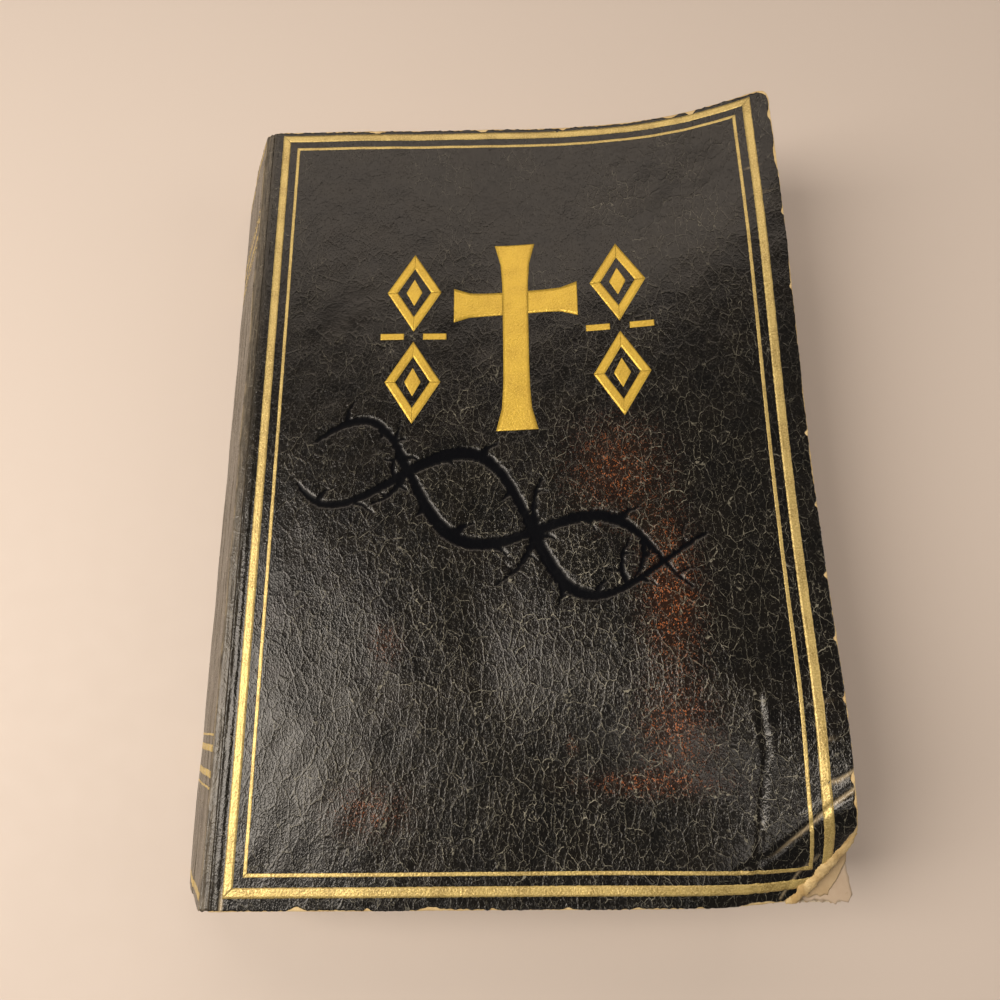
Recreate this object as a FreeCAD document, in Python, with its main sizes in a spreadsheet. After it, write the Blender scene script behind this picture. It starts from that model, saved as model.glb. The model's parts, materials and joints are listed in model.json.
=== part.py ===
import FreeCAD, Part
import math
import os
import Sketcher
from FreeCAD import Placement, Rotation, Vector

# A thick paperback bible that lies on its back cover.
# Local axes of every piece: X from the back spine fold to the fore-edge, Y from tail to head,
# Z up from the underside of the back cover.  Each piece's Placement then moves it so that the
# origin is the middle of the back cover's underside.
# The spine has rolled: every layer is shifted sideways in proportion to its height.

DIMENSIONS = {
    "cover_width": 146.0,        # spine fold to fore-edge
    "cover_length": 210.0,       # tail to head
    "card_thickness": 0.35,      # cream card of the cover
    "skin_thickness": 0.15,      # black leatherette on the card
    "foil_thickness": 0.04,      # gold foil
    "corner_radius": 3.5,        # outer corners of the covers
    "hinge_strip": 4.7,          # glued strip between the spine fold and the score line
    "score_gap": 0.1,            # width of the score line that the cover turns on
    "pivot_offset": 0.15,        # the score line's axis lies this far outside the cover
    "roll_slope": 0.455,         # sideways shift per unit of height
    "signature_thickness": 1.8,
    "leaf_thickness": 0.12,
    "leaf_gap": 0.15,            # air between loose leaves
    "cover_gap": 0.3,            # air between a cover and the leaf beside it
    "crease_gap": 0.3,           # air at each crease across the spine
    "glue_thickness": 0.8,       # hot-melt adhesive on the signatures' backs
    "trim": 0.8,                 # pages stop this far inside the covers
    "leaf_root": 0.5,            # loose leaves begin this far from the line they turn on
    "edge_lift": 9.2,            # the warped front cover's fore-edge stands this high
    "lift_start": 61.3,          # the cover is flat from the spine fold to here
    "lift_power": 0.9,          # how sharply it bends up at mid-length
    "head_lift": 5.4,            # further lift of the head corner
    "head_power": 1.61,
    "head_reach": 33.6,
    "bulge_lift": 5.0,           # further lift above the torn tail corner
    "bulge_power": 1.48,
    "bulge_centre": 30.9,
    "bulge_reach": 37.6,
    "dip_width": 49.5,           # the tail corner bends back down along a diagonal
    "dip_length": 15.3,
    "dip_reach": 1.58,
    "leaf_share": 0.7,           # each leaf under the cover lifts this share of the one above
    "skin_inset": 0.3,           # card shows this wide at the worn edge
    "torn_width": 15.5,          # skin torn from the tail corner
    "torn_length": 17.5,
    "torn_rim": 3.6,             # card that still shows past the torn skin
    "rule_side": 5.2,            # spine fold to outer rule
    "rule_fore": 4.8,            # fore-edge to outer rule
    "rule_head": 1.4,
    "rule_tail": 2.8,
    "rule_wide": 2.2,
    "rule_thin": 0.85,
    "rule_space": 2.1,
    "emblem_centre": 142.0,      # height of the cross's middle above the tail
    "cross_length": 56.0,
    "cross_width": 34.0,
    "cross_bar": 7.5,
    "lozenge_length": 17.0,
    "lozenge_width": 12.0,
    "lozenge_step": 27.0,
    "band_wide": 1.6,
    "band_thin": 0.5,
    "band_inset": 29.2,          # tail edge of the cover to the lower wide band
    "band_step": 5.9,
    "band_margin": 3.1,
    "band_end_inset": 3.0,
}
GROUPS = 4
SIGNATURES_PER_GROUP = 4
FRONT_LEAVES = 4
MIDDLE_LEAVES = 5

doc = FreeCAD.newDocument("Bible")
sheet = doc.addObject("Spreadsheet::Sheet", "Dimensions")
for row, (alias, number) in enumerate(DIMENSIONS.items(), start=1):
    sheet.set(f"A{row}", alias)
    sheet.set(f"B{row}", str(number))
    sheet.setAlias(f"B{row}", alias)
doc.recompute()


def size(alias):
    return float(sheet.get(alias))


def ref(alias):
    return f"Dimensions.{alias}"


def value(expression):
    return float(sheet.evalExpression(expression))


# ---------------------------------------------------------------- levels, as expressions
COVER = f"({ref('card_thickness')} + {ref('skin_thickness')})"
LEAF_STEP = f"({ref('leaf_thickness')} + {ref('leaf_gap')})"
GROUP_HEIGHT = f"({SIGNATURES_PER_GROUP} * {ref('signature_thickness')})"
MIDDLE_GAP = f"({MIDDLE_LEAVES} * {LEAF_STEP} + {ref('leaf_gap')})"
BLOCK_BOTTOM = f"({COVER} + {ref('cover_gap')} + {LEAF_STEP})"


def group_bottom(index):
    """Underside of the lowest signature in a group, counted from the back cover."""
    narrow_gaps = index if index < 2 else index - 1
    middle_gaps = 0 if index < 2 else 1
    return (f"({BLOCK_BOTTOM} + {index} * {GROUP_HEIGHT} + {narrow_gaps} * {ref('crease_gap')}"
            f" + {middle_gaps} * {MIDDLE_GAP})")


def group_top(index):
    return f"({group_bottom(index)} + {GROUP_HEIGHT})"


def crease(index):
    """Height of the crease between group index and group index + 1."""
    gap = MIDDLE_GAP if index == 1 else ref("crease_gap")
    return f"({group_top(index)} + {gap} / 2)"


BLOCK_TOP = group_top(GROUPS - 1)
FRONT_UNDERSIDE = f"({BLOCK_TOP} + {FRONT_LEAVES} * {LEAF_STEP} + {ref('cover_gap')})"
FRONT_TOP = f"({FRONT_UNDERSIDE} + {COVER})"


def lean(level):
    """Sideways shift of the rolled book at a height."""
    return f"({ref('roll_slope')} * ({level}))"


def place(piece):
    piece.Placement = Placement(Vector(-size("cover_width") / 2, -size("cover_length") / 2, 0),
                                Rotation())
    piece.setExpression("Placement.Base.x", f"-{ref('cover_width')} / 2")
    piece.setExpression("Placement.Base.y", f"-{ref('cover_length')} / 2")
    return piece


def origin_plane(body, role):
    return next(feature for feature in body.Origin.OriginFeatures if feature.Role == role)


def prism(label, corners, inset):
    """A body whose outline lies across the book and is padded from tail to head."""
    body = doc.addObject("PartDesign::Body", label)
    body.Label = label
    sketch = body.newObject("Sketcher::SketchObject", label + "_outline")
    sketch.AttachmentSupport = [(origin_plane(body, "XZ_Plane"), "")]
    sketch.MapMode = "FlatFace"
    points = [Vector(value(x), value(z), 0) for x, z in corners]
    for start, end in zip(points, points[1:] + points[:1]):
        sketch.addGeometry(Part.LineSegment(start, end), False)
    for index, (x, z) in enumerate(corners):
        before = (index - 1) % len(corners)
        sketch.addConstraint(Sketcher.Constraint("Coincident", before, 2, index, 1))
        across = sketch.addConstraint(
            Sketcher.Constraint("DistanceX", -1, 1, index, 1, points[index].x))
        upward = sketch.addConstraint(
            Sketcher.Constraint("DistanceY", -1, 1, index, 1, points[index].y))
        sketch.setExpression(f"Constraints[{across}]", x)
        sketch.setExpression(f"Constraints[{upward}]", z)
    sketch.setExpression("AttachmentOffset.Base.z", f"-{inset}")
    pad = body.newObject("PartDesign::Pad", label + "_pad")
    pad.Profile = sketch
    pad.Reversed = True
    pad.Length = size("cover_length") - 2 * value(inset)
    pad.setExpression("Length", f"{ref('cover_length')} - 2 * {inset}")
    body.Tip = pad
    return place(body)


def layer(label, bottom, top, start, end, inset):
    """A flat layer between two levels, sheared with the rolled spine."""
    corners = [(f"{lean(bottom)} + {start}", bottom), (f"{lean(bottom)} + {end}", bottom),
               (f"{lean(top)} + {end}", top), (f"{lean(top)} + {start}", top)]
    return prism(label, corners, inset)


PIECES = []
PAGE_START = f"({COVER} + {ref('glue_thickness')})"
PAGE_END = f"({ref('cover_width')} - {ref('trim')})"
TRIM = ref("trim")

# ---------------------------------------------------------------- text block
for group in range(GROUPS):
    for place_in_group in range(SIGNATURES_PER_GROUP):
        low = f"({group_bottom(group)} + {place_in_group} * {ref('signature_thickness')})"
        high = f"({low} + {ref('signature_thickness')})"
        number = group * SIGNATURES_PER_GROUP + place_in_group + 1
        PIECES.append(layer(f"signature_{number:02d}", low, high, PAGE_START, PAGE_END, TRIM))
    PIECES.append(layer(f"spine_adhesive_{group + 1}", group_bottom(group), group_top(group),
                        COVER, PAGE_START, TRIM))


# ---------------------------------------------------------------- spine of the cover
def strip_corners(group, outside, inside):
    """Outline of one layer of one spine strip.  The first and last strips turn the fold and
    run on under or over the block as far as the score line."""
    half = f"{ref('crease_gap')} / 2"
    low = f"({crease(group - 1)} + {half})" if group > 0 else outside
    high = f"({crease(group)} - {half})" if group < GROUPS - 1 else f"({FRONT_TOP} - {outside})"
    corners = [(f"{lean(low)} + {outside}", low)]
    if group == 0:
        turn = inside
        corners += [(ref("hinge_strip"), outside), (ref("hinge_strip"), turn),
                    (f"{lean(turn)} + {inside}", turn)]
    else:
        corners += [(f"{lean(low)} + {inside}", low)]
    if group == GROUPS - 1:
        turn = f"({FRONT_TOP} - {inside})"
        score = f"{lean(FRONT_TOP)} + {ref('hinge_strip')}"
        corners += [(f"{lean(turn)} + {inside}", turn), (score, turn), (score, high)]
    else:
        corners += [(f"{lean(high)} + {inside}", high)]
    corners += [(f"{lean(high)} + {outside}", high)]
    return corners


for group in range(GROUPS):
    skin = strip_corners(group, "0", ref("skin_thickness"))
    card = strip_corners(group, ref("skin_thickness"), COVER)
    PIECES.append(prism(f"spine_skin_{group + 1}", skin, "0"))
    PIECES.append(prism(f"spine_card_{group + 1}", card, "0"))

# The glued roots of the loose leaves fill the step between the block and the hinge strips.
stub_end = ref("hinge_strip")
PIECES.append(prism("back_leaf_stub", [
    (f"{lean(COVER)} + {COVER}", COVER), (stub_end, COVER), (stub_end, BLOCK_BOTTOM),
    (f"{lean(BLOCK_BOTTOM)} + {COVER}", BLOCK_BOTTOM)], TRIM))
front_score = f"{lean(FRONT_TOP)} + {ref('hinge_strip')}"
PIECES.append(prism("front_leaf_stub", [
    (f"{lean(BLOCK_TOP)} + {COVER}", BLOCK_TOP), (front_score, BLOCK_TOP),
    (front_score, FRONT_UNDERSIDE), (f"{lean(FRONT_UNDERSIDE)} + {COVER}", FRONT_UNDERSIDE)],
    TRIM))

# ---------------------------------------------------------------- loose leaves
LEAF_START_AT_HINGE = f"({ref('hinge_strip')} + 4 * {ref('pivot_offset')} + {ref('leaf_root')})"


def loose_leaf(label, low, start):
    high = f"({low} + {ref('leaf_thickness')})"
    return layer(label, low, high, start, PAGE_END, TRIM)


PIECES.append(loose_leaf("back_flyleaf", f"({COVER} + {ref('cover_gap')})",
                         LEAF_START_AT_HINGE))
for number in range(MIDDLE_LEAVES):
    low = f"({group_top(1)} + {ref('leaf_gap')} + {number} * {LEAF_STEP})"
    PIECES.append(loose_leaf(f"middle_leaf_{number + 1}", low,
                             f"({PAGE_START} + {ref('leaf_root')})"))


# ---------------------------------------------------------------- back cover
def back_panel(label, low, high, inset):
    """A flat panel with its two fore-edge corners rounded."""
    body = doc.addObject("PartDesign::Body", label)
    body.Label = label
    sketch = body.newObject("Sketcher::SketchObject", label + "_outline")
    sketch.AttachmentSupport = [(origin_plane(body, "XY_Plane"), "")]
    sketch.MapMode = "FlatFace"
    left = f"({ref('hinge_strip')} + {ref('score_gap')})"
    corners = [(left, inset), (f"({ref('cover_width')} - {inset})", inset),
               (f"({ref('cover_width')} - {inset})", f"({ref('cover_length')} - {inset})"),
               (left, f"({ref('cover_length')} - {inset})")]
    points = [Vector(value(x), value(y), 0) for x, y in corners]
    for start, end in zip(points, points[1:] + points[:1]):
        sketch.addGeometry(Part.LineSegment(start, end), False)
    for index, (x, y) in enumerate(corners):
        before = (index - 1) % len(corners)
        sketch.addConstraint(Sketcher.Constraint("Coincident", before, 2, index, 1))
        across = sketch.addConstraint(
            Sketcher.Constraint("DistanceX", -1, 1, index, 1, points[index].x))
        along = sketch.addConstraint(
            Sketcher.Constraint("DistanceY", -1, 1, index, 1, points[index].y))
        sketch.setExpression(f"Constraints[{across}]", x)
        sketch.setExpression(f"Constraints[{along}]", y)
    sketch.setExpression("AttachmentOffset.Base.z", low)
    pad = body.newObject("PartDesign::Pad", label + "_pad")
    pad.Profile = sketch
    pad.Length = value(f"{high} - {low}")
    pad.setExpression("Length", f"{high} - {low}")
    doc.recompute()
    fore_edge = value(corners[1][0])
    rounded = [f"Edge{index}" for index, edge in enumerate(pad.Shape.Edges, start=1)
               if edge.BoundBox.ZLength > edge.BoundBox.XLength + edge.BoundBox.YLength
               and abs(edge.CenterOfMass.x - fore_edge) < 0.01]
    fillet = body.newObject("PartDesign::Fillet", label + "_corners")
    fillet.Base = (pad, rounded)
    fillet.Radius = size("corner_radius")
    fillet.setExpression("Radius", ref("corner_radius"))
    body.Tip = fillet
    return place(body)


PIECES.append(back_panel("back_cover_skin", "0", ref("skin_thickness"), ref("skin_inset")))
PIECES.append(back_panel("back_cover_card", ref("skin_thickness"), COVER, "0"))

# ---------------------------------------------------------------- front cover
FOLD = value(lean(FRONT_TOP))
TOP = value(FRONT_TOP)
WIDTH = size("cover_width")
LENGTH = size("cover_length")
HINGE = size("hinge_strip") + size("score_gap")
SAMPLES_ACROSS = 31
SAMPLES_ALONG = 37


def smooth(amount):
    """An even step from 0 to 1."""
    amount = min(1.0, max(0.0, amount))
    return amount * amount * (3 - 2 * amount)


def bell(distance, reach):
    return math.exp(-(distance / reach) ** 2)


def lift(across, along):
    """Height of the warped front cover above its flat plane, at a distance across from the
    spine fold and along from the tail."""
    edge = (size("edge_lift") + size("head_lift") * smooth(along / LENGTH / 0.55 - 0.82)
            + size("bulge_lift") * bell(along - size("bulge_centre"), size("bulge_reach")))
    power = (size("lift_power") + size("head_power") * bell(LENGTH - along, size("head_reach"))
             + size("bulge_power") * bell(along - 0.08 * LENGTH, 0.1 * LENGTH))
    reach = max(0.0, (across - size("lift_start")) / (WIDTH - size("lift_start")))
    reach = 1.2 * reach ** 2 / (reach + 0.2)
    corner = (WIDTH - across) / size("dip_width") + along / size("dip_length")
    return edge * reach ** power * smooth(corner / size("dip_reach"))


def warped_sheet(level, share):
    """The warped surface at a level.  A leaf below the cover bends with a share of its lift."""
    rows = []
    for i in range(SAMPLES_ACROSS):
        across = WIDTH * i / (SAMPLES_ACROSS - 1)
        row = []
        for j in range(SAMPLES_ALONG):
            along = LENGTH * j / (SAMPLES_ALONG - 1)
            row.append(Vector(FOLD + across, along, level + share * lift(across, along)))
        rows.append(row)
    surface = Part.BSplineSurface()
    surface.interpolate(rows)
    return surface.toShape()


def outline_face(points):
    """A flat face in cover coordinates, from corner points."""
    corners = [Vector(FOLD + x, y, 0) for x, y in points]
    return Part.Face(Part.makePolygon(corners + corners[:1]))


def rounded_outline(inset):
    """Outline of the cover with its two fore-edge corners rounded."""
    panel = Part.makeBox(WIDTH - inset - HINGE, LENGTH - 2 * inset, 1,
                         Vector(FOLD + HINGE, inset, 0))
    corner_edges = [edge for edge in panel.Edges
                    if edge.BoundBox.ZLength > 0.5 and edge.CenterOfMass.x > FOLD + WIDTH / 2]
    panel = panel.makeFillet(size("corner_radius"), corner_edges)
    return min(panel.Faces, key=lambda face: face.CenterOfMass.z)


def bent_layer(label, outline, low, thickness, share=1.0):
    """A thin layer of the front cover, or a leaf under it, that follows the warped surface."""
    column = outline.copy()
    column.translate(Vector(0, 0, -5))
    column = column.extrude(Vector(0, 0, TOP + 60))
    trimmed = warped_sheet(TOP + low, share).common(column)
    solids = [face.extrude(Vector(0, 0, thickness)) for face in trimmed.Faces]
    piece = doc.addObject("Part::Feature", label)
    piece.Label = label
    piece.Shape = solids[0] if len(solids) == 1 else Part.makeCompound(solids)
    return place(piece)


cover_thickness = size("card_thickness") + size("skin_thickness")


def torn_corner(width, length):
    """The triangle that is missing from the tail corner of the fore-edge."""
    return outline_face([(WIDTH - width, -1), (WIDTH + 1, -1), (WIDTH + 1, length),
                         (WIDTH, length), (WIDTH - width, 0)])


torn = torn_corner(size("torn_width"), size("torn_length"))
card_torn = torn_corner(size("torn_width") - size("torn_rim"),
                        size("torn_length") - size("torn_rim"))
card_outline = rounded_outline(0).cut(card_torn).Faces[0]
PIECES.append(bent_layer("front_cover_card", card_outline, -cover_thickness,
                       size("card_thickness")))
skin_outline = rounded_outline(size("skin_inset")).cut(torn).Faces[0]
PIECES.append(bent_layer("front_cover_skin", skin_outline, -size("skin_thickness"),
                       size("skin_thickness")))


def rectangle(left, tail, right, head):
    return outline_face([(left, tail), (right, tail), (right, head), (left, head)])


def ring(step_in, wide):
    """A rectangular rule: the band between two rectangles."""
    left = size("rule_side") + step_in
    tail = size("rule_tail") + step_in
    right = WIDTH - size("rule_fore") - step_in
    head = LENGTH - size("rule_head") - step_in
    return rectangle(left, tail, right, head).cut(
        rectangle(left + wide, tail + wide, right - wide, head - wide)).cut(torn).Faces[0]


# The loose leaves under the cover bend up with it, each less than the one above.
leaf_step = size("leaf_thickness") + size("leaf_gap")
leaf_start = size("hinge_strip") + 4 * size("pivot_offset") + size("leaf_root")
for number in range(FRONT_LEAVES):
    low = -cover_thickness - size("cover_gap") - size("leaf_thickness") - number * leaf_step
    shift = size("roll_slope") * low
    outline = rectangle(leaf_start + shift, size("trim"),
                        WIDTH - size("trim") + shift, LENGTH - size("trim"))
    name = "front_flyleaf" if number == 0 else f"front_leaf_{number + 1}"
    PIECES.append(bent_layer(name, outline, low, size("leaf_thickness"),
                             size("leaf_share") ** (number + 1)))

inner_step = size("rule_wide") + size("rule_space")
PIECES.append(bent_layer("front_outer_rule", ring(0, size("rule_wide")), 0,
                       size("foil_thickness")))
PIECES.append(bent_layer("front_inner_rule", ring(inner_step, size("rule_thin")), 0,
                       size("foil_thickness")))

# The emblem: a plain Latin cross with two lozenges on each side.
centre = (size("rule_side") + WIDTH - size("rule_fore")) / 2
middle = size("emblem_centre")
half_bar = size("cross_bar") / 2
half_cross = size("cross_length") / 2
arm_level = middle + size("cross_length") / 6
upright = rectangle(centre - half_bar, middle - half_cross, centre + half_bar,
                    middle + half_cross)
arms = rectangle(centre - size("cross_width") / 2, arm_level - half_bar,
                 centre + size("cross_width") / 2, arm_level + half_bar)
cross = upright.fuse(arms).removeSplitter().Faces[0]
PIECES.append(bent_layer("front_cross_emblem", cross, 0, size("foil_thickness")))


def lozenge(x, y):
    half_width = size("lozenge_width") / 2
    half_length = size("lozenge_length") / 2
    return outline_face([(x - half_width, y), (x, y - half_length), (x + half_width, y),
                         (x, y + half_length)])


lozenges = [lozenge(centre + side * size("lozenge_step"), middle + row * size("lozenge_length") * 0.62)
            for side in (-1, 1) for row in (-1, 1)]
PIECES.append(bent_layer("front_lozenges", Part.makeCompound(lozenges), 0,
                       size("foil_thickness")))


# ---------------------------------------------------------------- gold bands across the spine
def band_places():
    """Centre and width of each band, from the tail edge of the cover."""
    wide = size("band_wide")
    thin = size("band_thin")
    low = size("band_inset")
    lower_end = [(size("band_end_inset"), wide), (low - size("band_margin"), thin), (low, wide),
                 (low + size("band_step"), wide),
                 (low + size("band_step") + size("band_margin"), thin)]
    return lower_end + [(LENGTH - centre_line, width) for centre_line, width in lower_end]


def spine_rules(group):
    """The foil bands on one spine strip, kept clear of the creases at its ends."""
    clear = size("crease_gap") * 2
    low = value(crease(group - 1)) + clear if group > 0 else clear
    high = value(crease(group)) - clear if group < GROUPS - 1 else TOP - clear
    slope = size("roll_slope")
    foil = size("foil_thickness")
    bands = []
    for centre_line, width in band_places():
        tail = centre_line - width / 2
        corners = [Vector(slope * low - foil, tail, low), Vector(slope * low, tail, low),
                   Vector(slope * high, tail, high), Vector(slope * high - foil, tail, high)]
        face = Part.Face(Part.makePolygon(corners + corners[:1]))
        bands.append(face.extrude(Vector(0, width, 0)))
    piece = doc.addObject("Part::Feature", f"spine_rules_{group + 1}")
    piece.Label = f"spine_rules_{group + 1}"
    piece.Shape = Part.makeCompound(bands)
    return place(piece)


for group in range(GROUPS):
    PIECES.append(spine_rules(group))

# ---------------------------------------------------------------- check and write
doc.recompute()
for item in doc.Objects:
    if {"Invalid", "Error"} & set(item.State):
        raise RuntimeError(f"{item.Label} did not build: {item.State}")
for piece in PIECES:
    if piece.Shape.isNull() or not piece.Shape.isValid() or piece.Shape.Volume <= 0:
        raise RuntimeError(f"{piece.Label} has no valid solid")

os.makedirs("parts", exist_ok=True)
for piece in PIECES:
    piece.Shape.exportStep(f"parts/{piece.Label}.step")

print(f"{len(PIECES)} pieces, thickness {TOP:.3f}")
for name, level in (("score line, front", FRONT_TOP), ("crease 1", crease(0)),
                    ("crease 2", crease(1)), ("crease 3", crease(2))):
    print(f"{name}: x {value(lean(level)) - WIDTH / 2:.4f}, z {value(level):.4f}")
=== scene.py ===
import json
import math

import bpy
import numpy as np
from mathutils import Matrix, Vector


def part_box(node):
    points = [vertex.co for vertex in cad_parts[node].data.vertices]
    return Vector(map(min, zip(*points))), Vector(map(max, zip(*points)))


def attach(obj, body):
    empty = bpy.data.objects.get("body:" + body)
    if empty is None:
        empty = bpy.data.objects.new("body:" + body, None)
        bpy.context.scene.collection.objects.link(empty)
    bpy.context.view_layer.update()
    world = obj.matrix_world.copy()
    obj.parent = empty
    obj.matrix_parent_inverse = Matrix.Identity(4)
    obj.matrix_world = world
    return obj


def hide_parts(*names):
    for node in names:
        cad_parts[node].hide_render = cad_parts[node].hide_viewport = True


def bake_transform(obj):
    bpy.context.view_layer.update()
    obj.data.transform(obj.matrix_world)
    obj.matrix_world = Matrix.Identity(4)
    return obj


# A worn paperback bible on its back cover.  Lengths here are in millimetres in the row frame;
# meshes are written in metres.  On the cover, u runs from the front spine fold to the
# fore-edge, v from tail to head; u below 0 goes on down the spine and under the book.

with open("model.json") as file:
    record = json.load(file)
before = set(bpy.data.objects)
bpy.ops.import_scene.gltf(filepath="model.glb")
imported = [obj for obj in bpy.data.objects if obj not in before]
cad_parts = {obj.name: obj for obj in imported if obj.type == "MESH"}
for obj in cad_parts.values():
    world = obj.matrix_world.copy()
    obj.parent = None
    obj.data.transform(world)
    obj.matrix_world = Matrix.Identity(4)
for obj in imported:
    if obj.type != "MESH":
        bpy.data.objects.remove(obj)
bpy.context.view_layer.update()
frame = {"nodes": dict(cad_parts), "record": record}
MM = 0.001


def box_mm(node):
    low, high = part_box(node)
    return np.array(low) / MM, np.array(high) / MM


# ------------------------------------------------------------------ sizes read from the frame
TAIL_Y = box_mm("spine_skin_1")[0][1]
LONG = box_mm("spine_skin_1")[1][1] - TAIL_Y
BACK_FOLD = box_mm("spine_skin_1")[0][0]
FORE_X = box_mm("back_cover_card")[1][0]
WIDE = FORE_X - BACK_FOLD
TOP = box_mm("spine_skin_4")[1][2]
SCORE = box_mm("spine_skin_4")[1][0]
HINGE = box_mm("spine_skin_1")[1][0] - BACK_FOLD
FOLD = SCORE - HINGE
SLOPE = (FOLD - BACK_FOLD) / TOP
SKIN = 0.15
CARD = 0.35
CREASES = [(box_mm(f"spine_skin_{n}")[1][2] + box_mm(f"spine_skin_{n + 1}")[0][2]) / 2
           for n in (1, 2, 3)]
SPINE_LONG = math.hypot(FOLD - BACK_FOLD, TOP)
CORNER = 3.5


# ------------------------------------------------------------------ helpers
def smooth(t):
    t = np.clip(t, 0, 1)
    return t * t * (3 - 2 * t)


def bell(distance, reach):
    return np.exp(-(distance / reach) ** 2)


def waves(seed, a, b, length, count=7):
    """Smooth random waves between about -1 and 1 with a typical length in mm."""
    rng = np.random.default_rng(seed)
    total = np.zeros(np.broadcast(a, b).shape)
    for _ in range(count):
        turn, phase = rng.uniform(0, 2 * math.pi, 2)
        step = rng.uniform(0.55, 1.6) * 2 * math.pi / length
        total += np.sin((a * math.cos(turn) + b * math.sin(turn)) * step + phase)
    return total / math.sqrt(count)


def ragged(seed, along, length):
    """Waves along one line."""
    return waves(seed, along, np.zeros_like(along), length)


def to_segment(a, b, start, end):
    """Distance from (a, b) to a straight segment, and where along it the nearest point is."""
    (x0, y0), (x1, y1) = start, end
    dx, dy = x1 - x0, y1 - y0
    t = np.clip(((a - x0) * dx + (b - y0) * dy) / (dx * dx + dy * dy), 0, 1)
    return np.hypot(a - x0 - t * dx, b - y0 - t * dy), t


def to_line(a, b, points):
    """Distance from (a, b) to a polyline."""
    best = np.full(np.broadcast(a, b).shape, 1e6)
    for start, end in zip(points[:-1], points[1:]):
        best = np.minimum(best, to_segment(a, b, start, end)[0])
    return best


def show(name, data):
    piece = bpy.data.objects.new(name, data)
    bpy.context.scene.collection.objects.link(piece)
    return piece


def new_object(name, points, faces, smooth_faces, fields):
    """A mesh object from points in millimetres, with its fields stored on the points."""
    mesh = bpy.data.meshes.new(name)
    mesh.from_pydata((points * MM).tolist(), [], faces)
    mesh.polygons.foreach_set("use_smooth", smooth_faces)
    for key, values in fields.items():
        kind = "FLOAT_VECTOR" if values.ndim == 2 else "FLOAT"
        layer = mesh.attributes.new(key, kind, "POINT")
        slot = "vector" if kind == "FLOAT_VECTOR" else "value"
        layer.data.foreach_set(slot, values.astype(np.float32).ravel())
    mesh.update()
    return show(name, mesh)


def closed_sheet(name, upper, lower, **fields):
    """A closed sheet between two grids of points of the same shape."""
    n, m = upper.shape[:2]
    index = np.arange(n * m).reshape(n, m)
    a, b, c, d = index[:-1, :-1], index[1:, :-1], index[1:, 1:], index[:-1, 1:]
    top = np.stack([a, b, c, d], -1).reshape(-1, 4)
    bottom = np.stack([a, d, c, b], -1).reshape(-1, 4) + n * m
    rim = np.concatenate([index[:-1, 0], index[-1, :-1], index[:0:-1, -1], index[0, :0:-1]])
    after = np.roll(rim, -1)
    side = np.stack([rim, rim + n * m, after + n * m, after], -1)
    faces = np.concatenate([top, bottom, side])
    flags = np.ones(len(faces), bool)
    flags[len(top) + len(bottom):] = False
    points = np.concatenate([upper.reshape(-1, 3), lower.reshape(-1, 3)])
    doubled = {k: np.concatenate([f.reshape(n * m, -1)] * 2) for k, f in fields.items()}
    doubled = {k: f[:, 0] if f.shape[1] == 1 else f for k, f in doubled.items()}
    return new_object(name, points, faces.tolist(), flags, doubled)


def finish_piece(piece, material, slot, *nodes):
    piece.data.materials.append(material)
    if nodes:
        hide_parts(*nodes)
    return piece


# ------------------------------------------------------------------ the warped front cover
def lift(u, v):
    """Height of the warped cover above its flat plane: the same curves as in the CAD."""
    edge = 9.2 + 5.4 * smooth(v / LONG / 0.55 - 0.82) + 5.0 * bell(v - 30.9, 37.6)
    power = 0.9 + 1.61 * bell(LONG - v, 33.6) + 1.48 * bell(v - 0.08 * LONG, 0.1 * LONG)
    reach = np.maximum(0, (u - 61.3) / (WIDE - 61.3))
    reach = 1.2 * reach ** 2 / (reach + 0.2)
    corner = (WIDE - u) / 49.5 + v / 15.3
    return edge * reach ** power * smooth(corner / 1.58)


class Warp:
    """The flat sheet bent to a share of the cover's lift, with its length kept."""

    def __init__(self, share=1.0, plane=TOP, shift=0.0):
        self.u = np.linspace(-1, WIDE + 2, 300)
        self.v = np.linspace(-2, LONG + 2, 430)
        grid_u, grid_v = np.meshgrid(self.u, self.v, indexing="ij")
        height = share * lift(np.clip(grid_u, 0, WIDE + 2), grid_v)
        slope_u = np.gradient(height, self.u, axis=0)
        slope_v = np.gradient(height, self.v, axis=1)
        lost_u = np.cumsum(1 - 1 / np.sqrt(1 + slope_u ** 2), axis=0) * (self.u[1] - self.u[0])
        lost_v = np.cumsum(1 - 1 / np.sqrt(1 + slope_v ** 2), axis=1) * (self.v[1] - self.v[0])
        lost_v -= lost_v[:, lost_v.shape[1] // 2][:, None]
        across = FOLD + shift + grid_u - lost_u
        along = TAIL_Y + grid_v - lost_v
        self.place = np.stack([across, along, plane + height], -1)
        normal = np.stack([-slope_u, -slope_v, np.ones_like(height)], -1)
        self.normal = normal / np.linalg.norm(normal, axis=-1, keepdims=True)

    def at(self, u, v, height):
        """Points at a height along the normal over flat places (u, v)."""
        a = np.clip((u - self.u[0]) / (self.u[1] - self.u[0]), 0, len(self.u) - 1.001)
        b = np.clip((v - self.v[0]) / (self.v[1] - self.v[0]), 0, len(self.v) - 1.001)
        i, j = a.astype(int), b.astype(int)
        s, t = (a - i)[..., None], (b - j)[..., None]

        def mixed(grid):
            return (grid[i, j] * (1 - s) * (1 - t) + grid[i + 1, j] * s * (1 - t)
                    + grid[i, j + 1] * (1 - s) * t + grid[i + 1, j + 1] * s * t)

        return mixed(self.place) + mixed(self.normal) * np.asarray(height)[..., None]


cover = Warp()

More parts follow.
